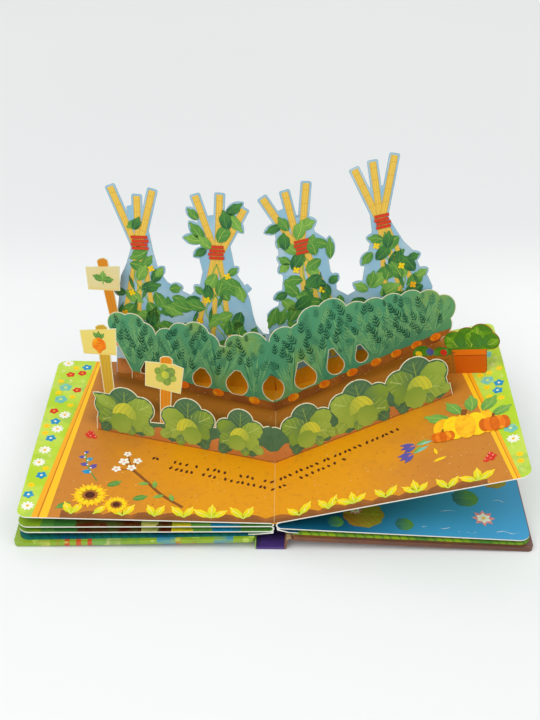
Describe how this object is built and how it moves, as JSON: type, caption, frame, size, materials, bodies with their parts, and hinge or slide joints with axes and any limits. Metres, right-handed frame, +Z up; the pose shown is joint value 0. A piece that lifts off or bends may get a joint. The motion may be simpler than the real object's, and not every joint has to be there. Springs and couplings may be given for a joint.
{
  "type": "pop-up book",
  "caption": "Board-backed pop-up garden book lying open, with standing card trellis, hedge, leafy front row, signs and planter; both covers swing.",
  "frame": {"origin": "middle of the spine's underside, where the book rests on the table", "axes": "+X towards the back cover on the right, +Y away from the reader, +Z up"},
  "size_m": [0.4055, 0.2365, 0.2311],
  "materials": {
    "front_cover_wrap": "gloss laminated print",
    "back_cover_wrap": "gloss laminated print",
    "spine_wrap": "gloss laminated print",
    "front_lining_paper": "satin print",
    "back_lining_paper": "satin print",
    "page_card": "satin print, white edges",
    "trellis_print": "satin print, white edges",
    "hedge_print": "satin print, white edges",
    "front_row_print": "satin print, white edges",
    "sign_print": "satin print, white edges",
    "planter_print": "satin print, white edges"
  },
  "bodies": {
    "book_block": {"spine": "spine_wrap", "front_joint_wrap": "front_cover_wrap", "back_joint_wrap": "back_cover_wrap", "pages": "page_card", "trellis_card": "trellis_print", "hedge_card": "hedge_print", "front_row_card": "front_row_print", "sign_high": "sign_print", "sign_middle": "sign_print", "sign_low": "sign_print", "planter_card": "planter_print"},
    "front_board": {"front_cover": "front_cover_wrap", "front_lining": "front_lining_paper"},
    "back_board": {"back_cover": "back_cover_wrap", "back_lining": "back_lining_paper"}
  },
  "joints": [
    {"name": "front_cover_hinge", "type": "hinge", "parent": "book_block", "child": "front_board", "pos_m": [-0.012, 0, 0.007], "axis": [0, -1, 0], "range_deg": [0, 90]},
    {"name": "back_cover_hinge", "type": "hinge", "parent": "book_block", "child": "back_board", "pos_m": [0.0165, 0, 0.009], "axis": [0, 1, 0], "range_deg": [0, 90]}
  ]
}
